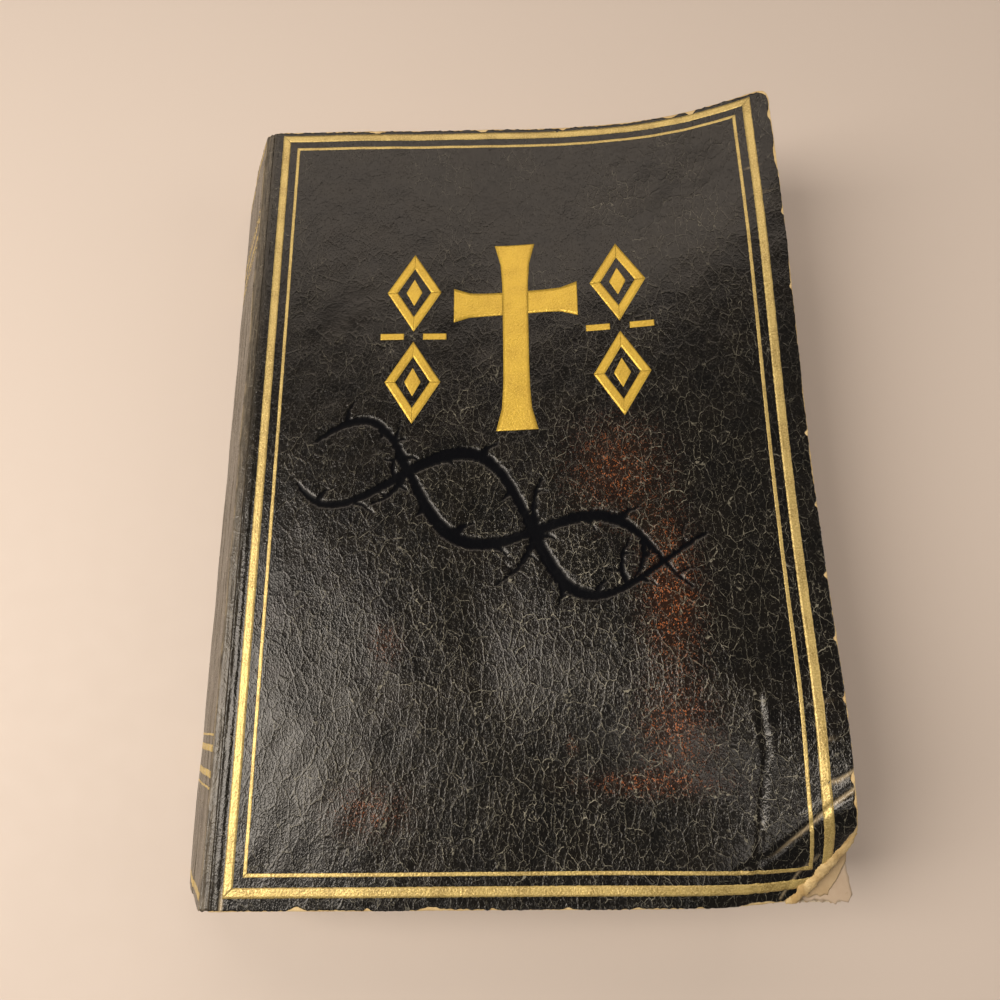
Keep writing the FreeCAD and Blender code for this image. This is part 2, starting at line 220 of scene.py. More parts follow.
# Creases of the bent corner, in cover coordinates.
CORNER_CREASE = [(146, 26), (141, 22.5), (135, 17), (128.5, 11.5), (121, 8)]
SIDE_CREASE = [(146, 29.5), (142.5, 27.5), (140, 27)]
TORN_CREASE = [(138, 10), (134, 7), (130, 1)]
UPRIGHT_CREASE = [(124, 0), (125.2, 12), (126.6, 22), (128.4, 33), (127.5, 45)]
HINGE_CREASE = [(2.9, 0), (3.4, 60), (2.6, 120), (3.3, 170), (2.7, 210)]


def relief(u, v):
    """Small bends of the limp cover."""
    total = 0.10 * waves(3, u, v, 46) * smooth(u / 25)
    total += 0.035 * waves(4, u, v, 13) * smooth(u / 12)
    for line, depth, wide in ((CORNER_CREASE, 0.5, 0.7), (SIDE_CREASE, 0.22, 0.5),
                              (TORN_CREASE, 0.25, 0.6), (UPRIGHT_CREASE, 0.38, 0.9),
                              (HINGE_CREASE, 0.16, 0.5)):
        far = to_line(u, v, line)
        total += depth * (0.45 * bell(far, 2.6 * wide) - bell(far, wide))
    near_hinge = bell(u - 3.0, 2.2)
    total += 0.05 * near_hinge * waves(5, u * 3.2, v * 0.35, 4.0)
    total -= 0.12 * bell(u - HINGE, 0.45)
    return total


# ------------------------------------------------------------------ thorny stems pressed in
def stem_parts():
    """Two thorny stems that twine round each other: tapered segments (from, to, radii)."""
    rng = np.random.default_rng(12)
    parts = []

    def run(points, radii):
        for p, q, r, s in zip(points[:-1], points[1:], radii[:-1], radii[1:]):
            parts.append((p, q, r, s))

    def turned(k, angle):
        """The direction of the path at point k, turned by an angle."""
        ahead = path[k + 1] - path[k - 1]
        ahead /= np.linalg.norm(ahead)
        c, s = math.cos(angle), math.sin(angle)
        return np.array([ahead[0] * c - ahead[1] * s, ahead[0] * s + ahead[1] * c])

    def thorn(root, direction, length, radius):
        bend = np.array([-direction[1], direction[0]]) * length * 0.12
        middle = root + direction * length * 0.5 + bend
        run([root, middle, root + direction * length], [radius, radius * 0.5, 0.06])

    for strand in (0, 1):
        t = np.linspace(0, 1, 46)
        centre = np.stack([18 + 99 * t, 106 - 28 * t + 5 * np.sin(2 * math.pi * t)], -1)
        sway = (12.5 - 3.0 * t) * np.sin(2 * math.pi * (1.55 * t + 0.08) + strand * math.pi)
        path = centre + np.stack([0.32 * sway, 0.95 * sway], -1)
        radii = 0.35 + 1.15 * np.sin(math.pi * np.clip(t * 1.02, 0, 1)) ** 0.6
        radii *= 1 + 0.18 * np.sin(19 * t + strand)
        run(path, radii)
        side = 1
        for k in range(3, 44, 4):
            direction = turned(k, side * math.radians(rng.uniform(48, 66)))
            thorn(path[k], direction, rng.uniform(4.2, 7.0), radii[k] * 0.85)
            side = -side
        for k, turn, length in ((12, -70, 15), (27, 62, 17), (38, -58, 13)):
            way = turned(k, math.radians(turn if strand == 0 else -turn))
            across = np.array([-way[1], way[0]])
            twig = [path[k] + way * length * s + across * 1.8 * math.sin(3.4 * s)
                    for s in (0, 0.3, 0.6, 1.0)]
            run(twig, [radii[k] * 0.8, 0.75, 0.5, 0.08])
            thorn(twig[1], across, 4.0, 0.5)
            thorn(twig[2], -across, 3.4, 0.4)
    return parts


def pressed(u, v):
    """1 inside the pressed stems, 0 outside, with sloping walls."""
    inside = np.zeros(u.shape)
    near = (u > 8) & (u < 132) & (v > 48) & (v < 140)
    a, b = u[near], v[near]
    best = np.full(a.shape, 9.0)
    for start, end, r0, r1 in stem_parts():
        far, t = to_segment(a, b, start, end)
        best = np.minimum(best, far - (r0 + (r1 - r0) * t))
    best += 0.12 * waves(21, a, b, 2.2)
    inside[near] = smooth(0.5 - best / 0.55)
    return inside


# ------------------------------------------------------------------ outlines with worn edges
HEAD_CHIPS = ((125, 1.2, 1.3), (119.5, 1.6, 0.7), (88, 1.0, 0.6), (64, 1.4, 0.7), (33, 2.0, 0.5))
TAIL_CHIPS = ((22.0, 1.5, 0.8), (38, 0.6, 0.6), (52, 2.2, 0.5), (66, 0.6, 0.4), (83, 0.9, 0.4),
              (98, 0.6, 0.4), (112, 0.8, 0.4), (125, 4.0, 0.55))
FORE_CHIPS = ((201, 1.6, 0.6), (188, 3.4, 0.55), (171, 1.0, 0.5), (149, 0.7, 0.4),
              (109, 0.7, 0.75), (90.5, 0.6, 0.6), (73, 0.7, 0.7), (58, 0.6, 0.65),
              (44.5, 0.8, 0.6), (28, 1.0, 0.7), (23, 0.7, 0.4))


def worn(seed, along, chips, base, fray):
    """How far the leather has worn back from the card's edge."""
    back = base + fray * (ragged(seed, along, 2.6) + 0.7 * ragged(seed + 1, along, 0.9))
    back += 0.12 * (1 + ragged(seed + 2, along, 17))
    for centre, wide, depth in chips:
        back = back + depth * np.exp(-(np.abs(along - centre) / wide) ** 3)
    return np.maximum(back, 0.02)


def corner_drop(from_edge, radius):
    """How far a rounded corner has come in at a distance from the side edge."""
    gap = np.clip(radius - from_edge, 0, radius)
    return radius - np.sqrt(np.maximum(radius * radius - gap * gap, 0))


TEAR_REACH = 15.5       # the torn corner's length along the tail edge of the skin
TEAR_RISE = 17.5        # and up its fore-edge
TEAR_STRAIGHT = 0.35    # how much of the tear's rise is straight; the rest curves
TEAR_CURVED = 1 - TEAR_STRAIGHT


def tear_shape(t):
    """Rise of the tear, from 0 on the tail edge to 1 on the fore-edge."""
    return TEAR_STRAIGHT * t + TEAR_CURVED * t * t


def torn_v(u, inset=0.0):
    """Where the tear crosses a column, without its fraying."""
    reach = TEAR_REACH - inset
    t = np.clip((u - (WIDE - reach)) / reach, 0, 1)
    return (TEAR_RISE - inset) * tear_shape(t)


def torn_u(v):
    """Where the tear crosses a row."""
    rise = np.maximum(v, 0) / TEAR_RISE
    root = np.sqrt(TEAR_STRAIGHT ** 2 + 4 * TEAR_CURVED * rise)
    return WIDE - TEAR_REACH + TEAR_REACH * (root - TEAR_STRAIGHT) / (2 * TEAR_CURVED)


def torn_edge(u, inset, seed):
    """The tail corner of the front cover is torn off along a hollow diagonal."""
    line = torn_v(u, inset)
    fray = 0.35 * ragged(seed, u, 2.3) + 0.2 * ragged(seed + 1, u, 0.8)
    return np.where(line > 0, np.maximum(line + fray, 0), 0)


def spread(u_lines, low, high, share):
    """Flat places (u, v): each column runs from its low to its high by the given shares."""
    v = low[:, None] + (high - low)[:, None] * share[None, :]
    return np.repeat(u_lines[:, None], len(share), 1), v


def cover_grid(u_lines, v_lines, head, tail, fore, radius, torn=None):
    """Flat places (u, v) of a cover panel.  v_lines run from 0 to 1; head, tail and fore give
    how far each edge stands back from the full size."""
    from_fore = WIDE - u_lines
    drop = corner_drop(from_fore, radius)
    low = tail(u_lines) + drop
    if torn is not None:
        low = np.maximum(low, torn(u_lines))
    high = LONG - head(u_lines) - drop
    u, v = spread(u_lines, low, high, v_lines)
    pull = smooth((u - (WIDE - 5)) / 5)
    return u - pull * fore(v), v


def lines(*stops):
    """Grid lines: (start, spacing) pairs up to the last value."""
    out = []
    for (start, step), (end, _) in zip(stops[:-1], stops[1:]):
        out.append(np.linspace(start, end, max(1, round((end - start) / step)), endpoint=False))
    return np.concatenate(out + [[stops[-1][0]]])


# ------------------------------------------------------------------ how worn the leather is
def wear_fields(u, v):
    pale = 0.20 + 0.62 * bell(u - 88, 60) * bell(v - 66, 62) + 0.22 * bell(v - 16, 24)
    pale -= 0.16 * bell(u - 50, 60) * bell(v - 180, 45)
    pale += 0.13 * waves(31, u, v, 34)
    rubbed = 0
    for amount, u0, wide, v0, tall in ((0.75, 98, 9, 102, 10), (1.15, 109.5, 5.2, 70, 15),
                                       (0.9, 109, 6.5, 39, 8.5), (0.85, 103, 12, 26.5, 2.3),
                                       (0.5, 37, 7.5, 21, 4.5), (0.45, 85, 1.0, 35, 1.8),
                                       (0.5, 40, 3, 59, 4)):
        rubbed = rubbed + amount * bell(u - u0, wide) * bell(v - v0, tall)
    crack = bell(to_line(u, v, CORNER_CREASE), 0.28) * smooth((u - 126) / 12) * 0.9
    crack += 0.8 * bell(to_line(u, v, SIDE_CREASE), 0.3)
    crack += 0.5 * bell(to_line(u, v, TORN_CREASE), 0.25)
    crack += 0.9 * bell(u - HINGE - 0.3, 0.35) * smooth((7 - v) / 6)
    for u0, v0, length in ((139.5, 186, 2.6), (141, 177.5, 3.2), (140.5, 44, 3.0),
                           (141.2, 36, 2.4)):
        crack += 0.45 * bell(v - v0 - 0.12 * (u - u0), 0.22) * bell(u - u0, length * 0.6)
    return np.clip(pale, 0, 1.2), np.clip(rubbed, 0, 1), np.clip(crack, 0, 1)


# ------------------------------------------------------------------ materials
class Nodes:
    """Short calls for building one node material."""

    def __init__(self, name):
        self.material = bpy.data.materials.new(name)
        self.material.use_nodes = True
        self.tree = self.material.node_tree
        self.tree.nodes.clear()
        self.shader = self.add("ShaderNodeBsdfPrincipled")
        output = self.add("ShaderNodeOutputMaterial")
        self.link(self.shader.outputs[0], output.inputs[0])

    def add(self, kind, **settings):
        node = self.tree.nodes.new(kind)
        for key, value in settings.items():
            setattr(node, key, value)
        return node

    def link(self, source, target):
        self.tree.links.new(source, target)

    def put(self, socket, value):
        if isinstance(value, bpy.types.NodeSocket):
            self.link(value, socket)
        else:
            socket.default_value = value

    def fill(self, node, **values):
        """Values or sockets for a node's inputs; _ in a name stands for a space."""
        for key, value in values.items():
            self.put(node.inputs[key.replace("_", " ")], value)
        return node

    def field(self, name, vector=False):
        node = self.add("ShaderNodeAttribute", attribute_name=name)
        return node.outputs["Vector" if vector else "Fac"]

    def object_mm(self):
        """The place on the object in millimetres, and the face direction."""
        texture = self.add("ShaderNodeTexCoord")
        place = self.stretched(texture.outputs["Object"], (1000, 1000, 1000))
        return place, texture.outputs["Normal"]

    def stretched(self, vector, scale, offset=(0, 0, 0)):
        node = self.add("ShaderNodeMapping")
        return self.fill(node, Vector=vector, Scale=scale, Location=offset).outputs[0]

    def part(self, vector, letter):
        node = self.add("ShaderNodeSeparateXYZ")
        self.link(vector, node.inputs[0])
        return node.outputs[letter]

    def noise(self, vector, scale, detail=3.0, rough=0.55, output="Fac"):
        node = self.add("ShaderNodeTexNoise")
        self.fill(node, Vector=vector, Scale=scale, Detail=detail, Roughness=rough)
        return node.outputs[output]

    def cells(self, vector, scale, feature="F1"):
        node = self.add("ShaderNodeTexVoronoi", feature=feature)
        return self.fill(node, Vector=vector, Scale=scale).outputs["Distance"]

    def math(self, operation, a, b=0.0, clamp=False):
        node = self.add("ShaderNodeMath", operation=operation, use_clamp=clamp)
        self.put(node.inputs[0], a)
        self.put(node.inputs[1], b)
        return node.outputs[0]

    def times(self, a, b, clamp=False):
        return self.math("MULTIPLY", a, b, clamp)

    def plus(self, a, b, clamp=False):
        return self.math("ADD", a, b, clamp)

    def ramp(self, value, low, high, out_low=0.0, out_high=1.0):
        node = self.add("ShaderNodeMapRange", interpolation_type="SMOOTHSTEP")
        self.fill(node, Value=value, From_Min=low, From_Max=high, To_Min=out_low, To_Max=out_high)
        return node.outputs["Result"]

    def mix(self, amount, a, b):
        a, b = (c if isinstance(c, bpy.types.NodeSocket) else (*c, 1) for c in (a, b))
        node = self.add("ShaderNodeMix", data_type="RGBA")
        return self.fill(node, Factor=amount, A=a, B=b).outputs["Result"]

    def vectors(self, operation, a, b):
        node = self.add("ShaderNodeVectorMath", operation=operation)
        self.put(node.inputs[0], a)
        self.put(node.inputs[1], b)
        return node.outputs[0]

    def shifted(self, vector, noise_colour, amount):
        centred = self.vectors("SUBTRACT", noise_colour, (0.5, 0.5, 0.5))
        return self.vectors("ADD", vector, self.vectors("MULTIPLY", centred, (amount,) * 3))

    def bump(self, height, depth_mm, strength=1.0):
        node = self.add("ShaderNodeBump")
        self.fill(node, Height=height, Distance=depth_mm * MM, Strength=strength)
        self.link(node.outputs[0], self.shader.inputs["Normal"])

    def surface(self, colour, rough, **constants):
        self.fill(self.shader, Base_Color=colour, Roughness=rough, **constants)
        return self.material


def leather_material():
    n = Nodes("black_leatherette")
    flat = n.field("flat", vector=True)
    bent = n.shifted(flat, n.noise(flat, 0.5, 2.0, output="Color"), 1.1)
    bent = n.shifted(bent, n.noise(flat, 2.4, 1.0, output="Color"), 0.16)
    wrinkles = n.cells(n.stretched(bent, (1.5, 0.72, 1)), 0.25, "DISTANCE_TO_EDGE")
    crackle = n.cells(n.stretched(bent, (1.2, 0.85, 1), (7, 3, 0)), 0.72, "DISTANCE_TO_EDGE")
    pebbles = n.cells(n.stretched(bent, (1.35, 0.9, 1)), 2.0)
    grain = n.noise(flat, 5.5, 2.0)
    patches = n.noise(flat, 0.11, 3.0)
    breaks = n.noise(flat, 0.8, 2.0)

    long_line = n.times(n.ramp(wrinkles, 0.017, 0.006), n.ramp(breaks, 0.40, 0.58))
    fine_line = n.times(n.ramp(crackle, 0.030, 0.010), n.ramp(breaks, 0.54, 0.42))
    # painted highlights: the tops of the raised pebbles are coloured lighter
    pebble_highlights = n.ramp(pebbles, 0.25, 0.12)
    pebble_highlights = n.times(pebble_highlights, n.ramp(n.noise(flat, 1.7, 1.0), 0.54, 0.66))
    pale = n.field("wear")
    age = n.field("age")
    press = n.field("pressed")
    worn_here = n.times(pale, n.ramp(patches, 0.28, 0.62, 0.45, 1.15))
    # the worn lines are real wear; the pebble spots mixed in with them are painted highlight
    wear_and_highlights = n.math("MAXIMUM", long_line, n.times(fine_line, 0.50))
    wear_and_highlights = n.math("MAXIMUM", wear_and_highlights, n.times(pebble_highlights, 0.60))
    wear_and_highlights = n.times(wear_and_highlights, worn_here, clamp=True)

    black = n.mix(n.ramp(patches, 0.3, 0.7), (0.0028, 0.0026, 0.0024), (0.0062, 0.0051, 0.0037))
    # lightens the worn lines and paints highlights on the pebble tops
    colour = n.mix(n.times(wear_and_highlights, 0.9), black, (0.30, 0.285, 0.22))
    red_noise = n.ramp(n.noise(flat, 0.6, 4.0, 0.75), 0.44, 0.60)
    red_dots = n.times(n.ramp(pebbles, 0.44, 0.24), red_noise)
    red_amount = n.plus(n.times(red_dots, 1.15), 0.035)
    red_amount = n.times(n.field("rubbed"), red_amount, clamp=True)
    colour = n.mix(red_amount, colour, (0.44, 0.135, 0.042))

    # the spine and the folds are rubbed through to a streaky grey-brown
    streaks = n.noise(n.stretched(flat, (2.6, 0.16, 1)), 1.0, 5.0, 0.65)
    fine_streaks = n.noise(n.stretched(flat, (6.5, 0.5, 1)), 1.0, 3.0, 0.6)
    rubbed_skin = n.mix(n.ramp(streaks, 0.30, 0.78), (0.075, 0.062, 0.045), (0.21, 0.175, 0.125))
    rubbed_skin = n.mix(n.ramp(fine_streaks, 0.54, 0.74, 0.0, 0.7), rubbed_skin,
                        (0.034, 0.028, 0.022))
    aged = n.times(age, n.ramp(streaks, 0.25, 0.60, 0.72, 1.15), clamp=True)
    colour = n.mix(aged, colour, rubbed_skin)

    colour = n.mix(press, colour, (0.0025, 0.0028, 0.0040))
    colour = n.mix(n.field("crack"), colour, (0.50, 0.40, 0.25))

    matt = n.ramp(n.noise(flat, 0.35, 3.0), 0.3, 0.7, 0.16, 0.22)
    matt = n.plus(matt, n.times(wear_and_highlights, 0.30))
    matt = n.plus(matt, n.times(age, 0.16))
    matt = n.plus(matt, n.times(press, 0.12), clamp=True)

    height = n.times(n.ramp(pebbles, 0.60, 0.05), 0.75)
    height = n.plus(height, n.times(n.ramp(crackle, 0.16, 0.0), 0.45))
    height = n.plus(height, n.times(n.ramp(wrinkles, 0.10, 0.0), 0.85))
    height = n.plus(height, n.times(grain, 0.10))
    calm = n.ramp(press, 0.0, 0.8, 1.0, 0.22)
    height = n.times(height, calm)
    # the grain is crisper near the spine, where hands rub it less
    height = n.times(height, n.ramp(n.part(flat, "X"), 22.0, 80.0, 1.9, 1.0))
    height = n.plus(height, n.times(n.times(streaks, age), 0.8))
    n.bump(height, 0.030)
    n.put(n.shader.inputs["Specular IOR Level"], n.ramp(press, 0.1, 0.7, 0.38, 0.05))
    return n.surface(colour, matt)


def gold_material(name, main, deep, glint):
    n = Nodes(name)
    flat = n.field("flat", vector=True)
    broad = n.noise(flat, 0.16, 3.0)
    fine = n.noise(flat, 2.4, 4.0, 0.7)
    pits = n.cells(flat, 2.1, "SMOOTH_F1")
    gold = n.mix(n.ramp(broad, 0.35, 0.68), main, deep)
    gold = n.mix(n.ramp(fine, 0.35, 0.75), gold, glint)
    scuffs = n.ramp(n.noise(n.stretched(flat, (1.0, 0.45, 1)), 1.3, 5.0, 0.75),
                    0.64, 0.72)
    worn_through, pitted = (0.16, 0.10, 0.035), (0.30, 0.19, 0.05)
    gold = n.mix(n.times(scuffs, 0.75), gold, worn_through)
    gold = n.mix(n.ramp(pits, 0.13, 0.06, 0.0, 0.45), gold, pitted)
    rough = n.ramp(fine, 0.3, 0.7, 0.30, 0.46)
    n.bump(n.plus(pits, n.times(fine, 0.6)), 0.075)
    return n.surface(gold, rough, Metallic=0.45, Specular_IOR_Level=0.5)


def fibre_material(name, light, dark, stain, grain_scale, rough_low, rough_high, depth,
                   coordinate="flat"):
    """Card and paper: mottled fibres with darker, stained places."""
    n = Nodes(name)
    if coordinate == "flat":
        place = n.field("flat", vector=True)
    else:
        place, _ = n.object_mm()
    mottle = n.noise(place, grain_scale * 0.12, 4.0, 0.6)
    fibre = n.noise(n.stretched(place, (1.0, 0.35, 1.0)), grain_scale, 4.0, 0.7)
    dirt = n.noise(place, grain_scale * 0.5, 5.0, 0.75)
    colour = n.mix(n.ramp(mottle, 0.35, 0.65), light, dark)
    colour = n.mix(n.ramp(fibre, 0.45, 0.75, 0.0, 0.55), colour, dark)
    colour = n.mix(n.ramp(dirt, 0.60, 0.74, 0.0, 0.8), colour, stain)
    n.bump(fibre, depth)
    return n.surface(colour, n.ramp(fibre, 0.3, 0.7, rough_low, rough_high),
                     Specular_IOR_Level=0.3)


def page_edge_material():
    """Leaf edges: thin level lines with yellowed streaks."""
    n = Nodes("page_edges")
    place, direction = n.object_mm()
    leaves = n.noise(n.stretched(place, (0.03, 0.03, 11.0)), 1.0, 3.0, 0.8)
    sections = n.noise(n.stretched(place, (0.02, 0.02, 0.8)), 1.0, 3.0, 0.6)
    spots = n.noise(place, 0.35, 5.0, 0.7)
    colour = n.mix(n.ramp(leaves, 0.36, 0.62), (0.36, 0.27, 0.17), (0.74, 0.64, 0.47))
    colour = n.mix(n.ramp(sections, 0.42, 0.66, 0.0, 0.45), colour, (0.55, 0.42, 0.26))
    colour = n.mix(n.ramp(spots, 0.62, 0.76, 0.0, 0.6), colour, (0.33, 0.24, 0.15))

    # the flat faces of a section are calm paper, a little yellower in places
    facing = n.ramp(n.math("ABSOLUTE", n.part(direction, "Z")), 0.5, 0.8)
    fibres = n.noise(place, 2.2, 4.0, 0.7)
    broad = n.noise(place, 0.03, 2.0)
    paper = n.mix(n.ramp(broad, 0.35, 0.70), (0.66, 0.58, 0.45), (0.62, 0.53, 0.39))
    paper = n.mix(n.ramp(fibres, 0.55, 0.8, 0.0, 0.25), paper, (0.50, 0.41, 0.29))
    colour = n.mix(facing, colour, paper)
    n.bump(n.times(leaves, n.ramp(facing, 0.0, 1.0, 1.0, 0.05)), 0.10)
    return n.surface(colour, n.ramp(leaves, 0.3, 0.7, 0.78, 0.95), Specular_IOR_Level=0.25)


def glue_material():
    n = Nodes("spine_adhesive")
    place, _ = n.object_mm()
    drips = n.noise(n.stretched(place, (1.0, 0.2, 1.0)), 0.9, 4.0, 0.6)
    colour = n.mix(n.ramp(drips, 0.35, 0.65), (0.55, 0.42, 0.22), (0.74, 0.63, 0.42))
    n.bump(drips, 0.25)
    return n.surface(colour, n.ramp(drips, 0.3, 0.7, 0.30, 0.5), Specular_IOR_Level=0.5)


LEATHER = leather_material()
GOLD = gold_material("gold_foil", (0.50, 0.375, 0.118), (0.31, 0.215, 0.058),
                     (0.76, 0.60, 0.26))
RICH_GOLD = gold_material("rich_gold_foil", (0.62, 0.415, 0.046), (0.50, 0.32, 0.034),
                          (0.72, 0.50, 0.09))
CARD_STOCK = fibre_material("cream_card", (0.66, 0.51, 0.27), (0.52, 0.37, 0.17),
                            (0.22, 0.14, 0.07), 2.2, 0.75, 0.92, 0.09)
TORN_CARD = fibre_material("torn_card", (0.72, 0.55, 0.28), (0.46, 0.31, 0.13),
                           (0.20, 0.12, 0.055), 1.5, 0.7, 0.95, 0.22)
PAGE = fibre_material("page_paper", (0.47, 0.375, 0.28), (0.42, 0.325, 0.235),
                      (0.30, 0.21, 0.13), 1.6, 0.75, 0.92, 0.03)
AGED_PAGE = fibre_material("browned_page", (0.46, 0.345, 0.205), (0.41, 0.295, 0.165),
                           (0.26, 0.17, 0.09), 1.8, 0.75, 0.92, 0.05)
PLAIN_PAPER = fibre_material("loose_paper", (0.66, 0.575, 0.445), (0.63, 0.54, 0.41),
                             (0.54, 0.44, 0.31), 1.6, 0.78, 0.92, 0.03, "object")
PAGE_EDGES = page_edge_material()
GLUE = glue_material()


# ------------------------------------------------------------------ the front cover
LEATHER_FIELDS = ("wear", "rubbed", "crack", "age", "pressed")
SKIN_FINISH = (LEATHER, "cover_skin")
CARD_FINISH = (CARD_STOCK, "cover_card")
JOIN = HINGE / 2        # the spine's piece of cover ends here, half way over the hinge strip
PRESS = 0.24            # depth of the pressed stems


def flat_field(u, v):
    return np.stack([u + 400, v + 40, np.zeros_like(u)], -1)


def sheet(name, finish, nodes, place, u, v, top, bottom, **fields):
    """A closed sheet between two heights over flat places; finish is (material, slot), and the
    slot is not used.
    """
    if finish[0] is LEATHER:
        fields = {key: fields.get(key, np.zeros_like(u)) for key in LEATHER_FIELDS}
    piece = closed_sheet(name, place(u, v, top), place(u, v, bottom), flat=flat_field(u, v),
                         **fields)
    return finish_piece(piece, *finish, *nodes)


def front_cover():
    u_lines = lines((JOIN, 0.35), (8.5, 0.42), (122, 0.5), (WIDE - 5, 0.25), (WIDE, 1))
    v_mm = lines((0, 0.3), (4, 0.5), (50, 0.38), (140, 0.62), (LONG - 4, 0.3), (LONG, 1))
    u, v = cover_grid(u_lines, v_mm / LONG,
                      lambda s: worn(41, s, HEAD_CHIPS, 0.22, 0.13) + 1.4 * bell(s + 1.5, 3.4),
                      lambda s: worn(44, s, TAIL_CHIPS, 0.12, 0.08),
                      lambda s: worn(47, s, FORE_CHIPS, 0.10, 0.05),
                      CORNER + 0.8, lambda s: torn_edge(s, 0.0, 51))
    stems = pressed(u, v)
    level = relief(u, v) - PRESS * stems
    level += 0.05 * waves(8, u, v, 2.4) * smooth((4 - (LONG - v)) / 4) * smooth((u - 40) / 40)
    pale, rubbed, crack = wear_fields(u, v)
    age = 0.55 * bell(u - 0.2, 1.3) + 0.22 * smooth((5 - u) / 4)
    skin = sheet("front_leather", SKIN_FINISH, ["front_cover_skin"], cover.at, u, v, level,
                 level - SKIN + 0.10 * stems, wear=pale, rubbed=rubbed, crack=crack, age=age,
                 pressed=stems)

    u_lines = lines((JOIN, 0.9), (WIDE - 6, 0.3), (WIDE, 1))
    v_mm = lines((0, 0.35), (5, 0.9), (LONG - 5, 0.35), (LONG, 1))
    u, v = cover_grid(u_lines, v_mm / LONG,
                      lambda s: 0.10 + 0.05 * ragged(61, s, 1.6) + 1.4 * bell(s + 1.5, 3.4),
                      lambda s: 0.08 + 0.05 * ragged(62, s, 1.6),
                      lambda s: 0.10 + 0.06 * ragged(63, s, 2.4),
                      CORNER, lambda s: torn_edge(s, 1.9, 51))
    under_stems = (smooth((u - 7) / 4) * smooth((133 - u) / 4) * smooth((v - 44) / 4)
                   * smooth((142 - v) / 4))
    under = relief(u, v) - SKIN
    card = sheet("front_card", CARD_FINISH, ["front_cover_card"], cover.at, u, v,
                 under - 0.01 - 0.16 * under_stems, under - CARD)
    for piece in (skin, card):
        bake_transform(piece)


def torn_roll():
    """The torn card edge, split and curled up into a soft roll along the tear."""
    reach_u, rise = 15.0, 15.9
    steps, sides = 90, 24
    across = np.linspace(WIDE - reach_u, WIDE - 0.35, steps)
    t = np.linspace(0, 1, steps)
    along = rise * tear_shape((across - WIDE + reach_u) / reach_u)
    along = along + 0.25 * ragged(71, across, 3.0)
    du, dv = np.gradient(across), np.gradient(along)
    reach = np.hypot(du, dv)
    out_u, out_v = dv / reach, -du / reach

    taper = np.clip(np.minimum(t, 1 - t) * 7, 0.10, 1) ** 0.6
    wide = (1.15 + 0.35 * np.sin(math.pi * t) + 0.22 * ragged(72, t * 30, 3.2)) * taper
    high = (0.50 + 0.28 * np.sin(math.pi * t) + 0.10 * ragged(73, t * 30, 2.1)) * taper
    around = np.linspace(0, 2 * math.pi, sides + 1)[:-1]
    grid_t, grid_turn = np.meshgrid(np.arange(steps), around, indexing="ij")
    c, s = np.cos(around)[None, :], np.sin(around)[None, :]
    fuzz = 1 + 0.10 * waves(74, grid_t * 0.4, grid_turn * 2.2, 1.7)
    side = (c * fuzz) * wide[:, None] + 0.35
    level = np.maximum(s * fuzz, -0.75) * high[:, None] - 0.25
    u = np.clip(across[:, None] + out_u[:, None] * side, 0, WIDE + 0.3)
    v = along[:, None] + out_v[:, None] * side
    points = cover.at(u, np.maximum(v, -0.6), level).reshape(-1, 3)
    ends = [points[:sides].mean(0), points[-sides:].mean(0)]
    points = np.concatenate([points, ends])

    index = np.arange(steps * sides).reshape(steps, sides)
    right = np.roll(index, -1, 1)
    skin = np.stack([index[:-1], index[1:], right[1:], right[:-1]], -1).reshape(-1, 4)
    first = np.stack([index[0], right[0], np.full(sides, steps * sides)], -1)
    last = np.stack([right[-1], index[-1], np.full(sides, steps * sides + 1)], -1)
    faces = skin.tolist() + first.tolist() + last.tolist()
    flat = np.stack([grid_t * 0.06, grid_t * 0.35, grid_turn], -1)
    flat = np.concatenate([flat.reshape(-1, 3), np.zeros((2, 3))])
    roll = new_object("torn_card_roll", points, faces, np.ones(len(faces), bool), {"flat": flat})
    finish_piece(roll, TORN_CARD, "cover_card")
    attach(roll, "front_cover")


# ------------------------------------------------------------------ gold foil
FOIL = 0.035
FOIL_GAP = 0.004        # the foil's underside above the leather


def joined_foil(name, grids, *nodes, foil=None, place=cover.at, bend=relief, raised=0.015):
    """Closed foil patches over grids of flat places, joined in one piece."""
    parts = []
    for k, (u, v) in enumerate(grids):
        level = bend(u, v)
        parts.append(closed_sheet(f"{name}_{k}", place(u, v, level + raised + FOIL),
                                  place(u, v, level + FOIL_GAP), flat=flat_field(u, v)))
    bpy.ops.object.select_all(action="DESELECT")
    for part in parts:
        part.select_set(True)
    bpy.context.view_layer.objects.active = parts[0]
    if len(parts) > 1:
        bpy.ops.object.join()
    piece = parts[0]
    piece.name = name
    return finish_piece(piece, foil or GOLD, "gold_foil", *nodes)


RULE_LEFT, RULE_RIGHT, RULE_TAIL, RULE_HEAD = 5.2, 4.8, 2.8, 1.4    # margins of the outer rule


